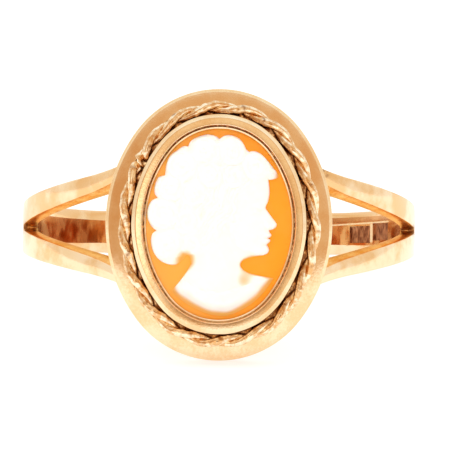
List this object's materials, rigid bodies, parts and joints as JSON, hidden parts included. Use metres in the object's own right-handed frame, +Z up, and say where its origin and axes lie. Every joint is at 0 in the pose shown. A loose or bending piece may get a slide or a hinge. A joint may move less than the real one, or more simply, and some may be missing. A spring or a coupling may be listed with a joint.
{
  "type": "cameo ring",
  "caption": "Finger ring with split shoulders, an oval plate with a twisted rope border, and a bezel-set oval shell cameo of a bust in profile.",
  "frame": {"origin": "on the surface that the ring lies on, under the middle of its box", "axes": "+Z up; the cameo faces -Y and slightly up; +X to the right of someone who looks at the cameo; the finger's axis leans from +Z towards +Y"},
  "size_m": [0.0194, 0.0216, 0.0126],
  "materials": {
    "gold": "polished gold with fine wear",
    "rope_gold": "polished gold, darker in the recesses",
    "shell_ground": "polished carved shell",
    "shell_figure": "satin carved shell"
  },
  "bodies": {
    "root": {"ring_mount": "gold", "rope_strand_a": "rope_gold", "rope_strand_b": "rope_gold", "cameo_ground": "shell_ground", "cameo_figure": "shell_figure"}
  },
  "joints": []
}
